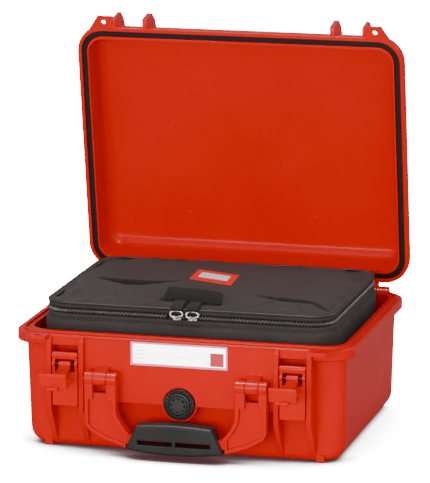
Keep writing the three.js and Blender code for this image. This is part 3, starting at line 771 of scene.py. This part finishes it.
def bag_patch():
    """Sewn patch with turned edges; its white field is plain."""
    n, thick = 14, 0.9
    verts, faces = [], []
    for level in (0, 1):
        for j in range(n + 1):
            for i in range(n + 1):
                u, v = i / n, j / n
                x, y = patch_point(u, v)
                rim = min(u, 1 - u, v, 1 - v) * n
                height = thick * min(1.0, 0.45 + 0.55 * rim)
                verts.append((x, y, top_height(x, y) + 0.9 + level * height + 0.15 * ruffle(x, y, 0, 12)))
    layer = (n + 1) * (n + 1)
    for j in range(n):
        for i in range(n):
            a = j * (n + 1) + i
            faces.append((layer + a, layer + a + 1, layer + a + n + 2, layer + a + n + 1))
            faces.append((a, a + n + 1, a + n + 2, a + 1))
    rim_loop = (list(range(n)) + [n + j * (n + 1) for j in range(n)]
                + [n * (n + 1) + n - i for i in range(n)] + [(n - j) * (n + 1) for j in range(n)])
    for a, b in zip(rim_loop, rim_loop[1:] + rim_loop[:1]):
        faces.append((a, b, layer + b, layer + a))
    obj = mesh_mm("bag_patch_badge", verts, faces)
    shade_by_angle(obj.data, 55)
    field = obj.data.attributes.new("field", "FLOAT_VECTOR", "POINT")
    coords = [((k % layer) % (n + 1) / n, (k % layer) // (n + 1) / n, 0.0) for k in range(2 * layer)]
    field.data.foreach_set("vector", [c for p in coords for c in p])
    place(obj, "bag_top", BADGE, "patch_red", "bag_patch")


def back_hinge():
    """The strip of cloth that joins tray and cover along the rear."""
    rows = [(128.9, 157.2), (129.6, 158.6), (130.2, 160.2), (129.6, 161.8), (128.9, 163.4),
            (126, 163.4), (126, 157.2)]
    half, steps = 137, 60
    verts = []
    for y, z in rows:
        for i in range(steps + 1):
            x = -half + 2 * half * i / steps
            verts.append((x, y + 0.5 * ruffle(x, y, z, 18), z))
    faces = []
    for r in range(len(rows)):
        for i in range(steps):
            a, b = r * (steps + 1) + i, ((r + 1) % len(rows)) * (steps + 1) + i
            faces.append((a, b, b + 1, a + 1))
    place(mesh_mm("bag_hinge_strip", verts, faces), "bag", CLOTH, "bag_cloth", "bag_back_hinge")


def build_bag():
    bag_tray()
    place(cord("bag_base_piping", 2.2, 8.6, 1.9, wobble=0.3), "bag", TAPE, "webbing")
    stitches("bag_tray_stitches", "bag", -2.3, 151.6, 5.0, (1.5, 0.5, 0.6), front_and_sides, TAPE, "zip_tape")
    zip_tape("zip_tape_lower_band", "bag", "zip_tape_lower", 157.2, 159.5)
    zip_tape("zip_tape_upper_band", "bag_top", "zip_tape_upper", 161.0, 163.4)
    zip_teeth("zip_teeth_lower", "bag", 159.75, 1, 0.0)
    zip_teeth("zip_teeth_upper", "bag_top", 160.85, -1, 0.5)
    cover_top()
    cover_side()
    piping = cord("bag_piping_cord", 1.6, 169.2, 1.55, wobble=0.35)
    place(piping, "bag_top", PIPING, "webbing", "bag_piping")
    bag_handle()
    pull_tab(-1, "left")
    pull_tab(1, "right")
    bag_patch()
    back_hinge()


# ---- hard parts -------------------------------------------------------------------------------------
FINISH = {
    "shell_red": RED, "latch_red": LATCH, "valve_black": BLACK, "seal_rubber": SEAL_AND_GROOVE_SHADE, "grip_rubber": GRIP,
    "pin_steel": STEEL, "zip_metal": NICKEL, "label_paper": PAPER, "label_clear": CLEAR,
}
# rounding worked into the mesh of the small moulded pieces, in mm; the rest get it from their material
SOFT_EDGES = {"latch_hook": 1.7, "latch_lever": 0.5, "handle": 0.8}
SLOT = {row["node"]: row["material_slot"] for row in frame["record"]["subparts"]}
BODY = {node: body for body, members in frame["record"]["behaviour"]["bodies"].items() for node in members}

# the valve's axis height, and the knob's radius and depths along y, in mm
VALVE_Z = 63.5
KNOB = {"rim": 13.6, "face": -162.6, "crown": 0.5, "chamfer": -161.4, "back": -159.6, "groove": 1.5}


def in_groove(r, a):
    """True in the knob's full ring groove and in the eight short arcs round its middle."""
    return 10.8 < r < 12.1 or (7.3 < r < 8.9 and math.cos(8 * a + 0.6) > -0.2)


def valve_knob():
    """The knob: rounded rim, a ring groove, eight arc grooves and a nearly flat middle; the grooves are
    painted near black as shade.
    """
    rings, steps, rim = 40, 160, KNOB["rim"]
    verts, faces = [], []
    for i in range(rings + 1):
        r = rim * i / rings
        for k in range(steps):
            a = 2 * math.pi * k / steps
            front = KNOB["face"] - KNOB["crown"] * math.cos(math.pi / 2 * (r / rim) ** 4)
            if in_groove(r, a):
                front += KNOB["groove"]
            verts.append((r * math.cos(a), front, VALVE_Z + r * math.sin(a)))
    for y in (KNOB["chamfer"], KNOB["back"]):
        for k in range(steps):
            a = 2 * math.pi * k / steps
            verts.append((rim * math.cos(a), y, VALVE_Z + rim * math.sin(a)))
    for i in range(rings + 2):
        for k in range(steps):
            a, b = i * steps + k, i * steps + (k + 1) % steps
            faces.append((a, b, b + steps, a + steps))
    obj = mesh_mm("valve_knob_turned", verts, faces)
    shade_by_angle(obj.data, 40)
    place(obj, "valve_cap", VALVE_FACE, "valve_black", "valve_knob")
    # painted shade: the groove faces take the near-black seal rubber so the grooves read as shadowed
    obj.data.materials.append(SEAL_AND_GROOVE_SHADE)
    for face in obj.data.polygons:
        x, z = face.center.x / MM, face.center.z / MM - VALVE_Z
        if in_groove(math.hypot(x, z), math.atan2(z, x)):
            face.material_index = 1


# one finger rib: distance from the axis, offset across, y
RIB_CORNERS = ((14.6, -0.7, -160.9), (18.0, -0.9, -159.6), (18.0, 0.9, -159.6), (14.6, 0.7, -160.9),
               (14.9, 0, -161.5), (17.6, 0, -160.6))


def valve_ribs():
    """Finger ribs round the valve's outer ring."""
    verts, faces = [], []
    ribs = 24
    for k in range(ribs):
        a = 2 * math.pi * k / ribs
        c, s = math.cos(a), math.sin(a)
        base = len(verts)
        for radial, tangent, y in RIB_CORNERS:
            verts.append((radial * c - tangent * s, y, VALVE_Z + radial * s + tangent * c))
        faces += [(base, base + 1, base + 5, base + 4), (base + 3, base + 4, base + 5, base + 2),
                  (base, base + 4, base + 3), (base + 1, base + 2, base + 5)]
    place(mesh_mm("valve_ring_ribs", verts, faces, smooth=False), "base", BLACK, "valve_black")


# centres of the ejector marks on the lid's ceiling, x and y with the lid closed
MARKS = ((-86, 98), (-5, 98), (76, 98), (-100, -20), (20, -18), (120, -90), (-120, -95))
# one mark's section: radius, depth below the ceiling
MARK_SECTION = ((5.2, -0.1), (5.6, 0.35), (6.2, 0.35), (6.6, -0.1))


def lid_marks():
    """Faint round ejector-pin marks moulded into the lid's ceiling."""
    verts, faces = [], []
    hinge_y, hinge_z, ceiling = 169.0, 134.0, 180.5
    turn = math.radians(-80)
    steps = 32
    for cx, cy in MARKS:
        for k in range(steps):
            a = 2 * math.pi * k / steps
            base = len(verts)
            for r, drop in MARK_SECTION:
                y, z = cy + r * math.sin(a) - hinge_y, ceiling - drop - hinge_z
                verts.append((cx + r * math.cos(a), hinge_y + y * math.cos(turn) - z * math.sin(turn),
                              hinge_z + y * math.sin(turn) + z * math.cos(turn)))
            nxt = base + 4 if k < steps - 1 else base - 4 * (steps - 1)
            faces += [(base + i, base + i + 1, nxt + i + 1, nxt + i) for i in range(3)]
    place(mesh_mm("lid_ejector_marks", verts, faces), "lid", RED, "shell_red")


def hard_parts():
    for node in sorted(NODES):
        material = FINISH.get(SLOT[node])
        if material is not None and node != "valve_knob":
            softened = SOFT_EDGES.get(node.rsplit("_", 1)[0], 0.0) * MM
            place(finished_copy(node, node + "_skin", softened), BODY[node], material, SLOT[node], node)
    valve_knob()
    valve_ribs()
    lid_marks()


hard_parts()
build_bag()


# ---- stage, light and camera, in metres again -----------------------------------------------------
def floor():
    """Plain white floor: white to the camera, darkening where the case shades it."""
    size = 12.0
    obj = new_object("floor", [(-size, -size, 0), (size, -size, 0), (size, size, 0), (-size, size, 0)],
                     [(0, 1, 2, 3)], smooth=False)
    n = Nodes("floor_white")
    mirrored = n.add("ShaderNodeLightPath").outputs["Is Glossy Ray"]
    n.link(n.mix(mirrored, (0.60, 0.60, 0.60), (0.20, 0.20, 0.20)), n.bsdf.inputs["Base Color"])
    n.link(n.span(n.noise(3.0), 0.85, 0.95), n.bsdf.inputs["Roughness"])
    # the broad shade round the case, and the tight dark line where its front edge meets the floor
    shade = n.add("ShaderNodeAmbientOcclusion", Distance=0.17)
    shade.samples = 32
    contact = n.add("ShaderNodeAmbientOcclusion", Distance=0.022)
    contact.samples = 16
    behind = n.span(n.axes()["Y"], 0.0, 1.0, -0.135, -0.095)
    edge = n.math("MAXIMUM", n.span(contact.outputs["AO"], 0.0, 1.0, 0.45, 0.95), behind)
    open_sky = n.span(shade.outputs["AO"], 0.0, 1.0, 0.10, 0.62)
    glow = n.add("ShaderNodeEmission")
    tint = n.math("MULTIPLY", open_sky, n.span(edge, 0.25, 1.0, 0.0, 1.0))
    shadow = n.ramp(tint, [(0.0, (0.30, 0.11, 0.13)), (0.45, (0.8, 0.72, 0.72)), (0.9, (1, 1, 1))])
    n.link(shadow, glow.inputs["Color"])
    light = n.math("MULTIPLY", n.math("POWER", open_sky, 2.4), n.span(edge, 0.5, 17.0, 0.0, 1.0))
    n.link(n.math("ADD", light, 0.3), glow.inputs["Strength"])
    mix = n.add("ShaderNodeMixShader")
    n.link(n.add("ShaderNodeLightPath").outputs["Is Camera Ray"], mix.inputs["Fac"])
    n.link(n.bsdf.outputs["BSDF"], mix.inputs[1])
    n.link(glow.outputs["Emission"], mix.inputs[2])
    n.link(mix.outputs["Shader"], n.tree.nodes["Material Output"].inputs["Surface"])
    set_material(obj, n.material)


# strengths of the studio: even fill on the surfaces, and what the camera sees
FILL, BACKDROP = 0.92, 18.0


def world():
    """White studio: plain white to the camera, even fill for the surfaces, brighter above in reflections."""
    studio = bpy.data.worlds.new("studio")
    bpy.context.scene.world = studio
    studio.use_nodes = True
    tree = studio.node_tree
    tree.nodes.clear()

    def add(kind, **inputs):
        node = tree.nodes.new(kind)
        for key, value in inputs.items():
            node.inputs[key].default_value = value
        return node

    def background(strength):
        return add("ShaderNodeBackground", Color=(1, 1, 1, 1), Strength=strength)

    path = add("ShaderNodeLightPath")
    split = add("ShaderNodeSeparateXYZ")
    tree.links.new(add("ShaderNodeTexCoord").outputs["Generated"], split.inputs[0])

    def band(axis, low, high, value_low, value_high):
        node = add("ShaderNodeMapRange")
        node.interpolation_type = "SMOOTHSTEP"
        limits = {"From Min": low, "From Max": high, "To Min": value_low, "To Max": value_high}
        for key, value in limits.items():
            node.inputs[key].default_value = value
        tree.links.new(split.outputs[axis], node.inputs["Value"])
        return node.outputs["Result"]

    def total(a, b):
        node = tree.nodes.new("ShaderNodeMath")
        tree.links.new(a, node.inputs[0])
        tree.links.new(b, node.inputs[1])
        return node.outputs[0]

    mirror, fill, seen = background(1), background(FILL), background(BACKDROP)
    brightness = total(band("Z", 0.15, 0.9, 0.2, 1.6), band("X", 0.35, 0.95, 0.0, 0.5))
    tree.links.new(brightness, mirror.inputs["Strength"])
    shine = add("ShaderNodeMixShader")
    tree.links.new(path.outputs["Is Glossy Ray"], shine.inputs["Fac"])
    tree.links.new(fill.outputs[0], shine.inputs[1])
    tree.links.new(mirror.outputs[0], shine.inputs[2])
    shown = add("ShaderNodeMixShader")
    tree.links.new(path.outputs["Is Camera Ray"], shown.inputs["Fac"])
    tree.links.new(shine.outputs[0], shown.inputs[1])
    tree.links.new(seen.outputs[0], shown.inputs[2])
    tree.links.new(shown.outputs[0], add("ShaderNodeOutputWorld").inputs["Surface"])


def area_light(name, location, target, size, power):
    data = bpy.data.lights.new(name, "AREA")
    data.shape = "RECTANGLE"
    data.size, data.size_y = size
    data.energy = power
    obj = bpy.data.objects.new(name, data)
    obj.location = location
    aim = Vector(target) - Vector(location)
    obj.rotation_euler = aim.to_track_quat("-Z", "Y").to_euler()
    bpy.context.scene.collection.objects.link(obj)
    return obj


def camera():
    """Long-lens view from the front right, a little above the rim."""
    data = bpy.data.cameras.new("camera")
    data.sensor_width = 36.0
    data.lens = 287.1
    obj = bpy.data.objects.new("camera", data)
    obj.location = (1.1271, -4.3293, 1.1777)
    obj.rotation_euler = Vector((-0.2460, 0.9466, -0.2085)).to_track_quat("-Z", "Y").to_euler()
    bpy.context.scene.collection.objects.link(obj)
    bpy.context.scene.camera = obj


floor()
world()
RIM_CENTRE = (0, 0, 0.15)
area_light("overhead", (-0.3, -0.9, 2.4), RIM_CENTRE, (1.5, 1.0), 4)
area_light("front", (0.1, -3.4, 0.5), RIM_CENTRE, (2.4, 0.9), 74)
glint = area_light("glint", (-0.1, -0.5, 2.6), RIM_CENTRE, (1.5, 0.08), 125)
glint.visible_diffuse = False
rim_light = area_light("rim_light", (2.2, 1.2, 1.3), RIM_CENTRE, (0.25, 1.2), 30)
rim_light.visible_diffuse = False
back = area_light("back", (-0.9, 3.0, 1.3), (0, 0, 0.2), (1.6, 1.0), 28)
back.visible_glossy = False
camera()

bpy.context.view_layer.update()
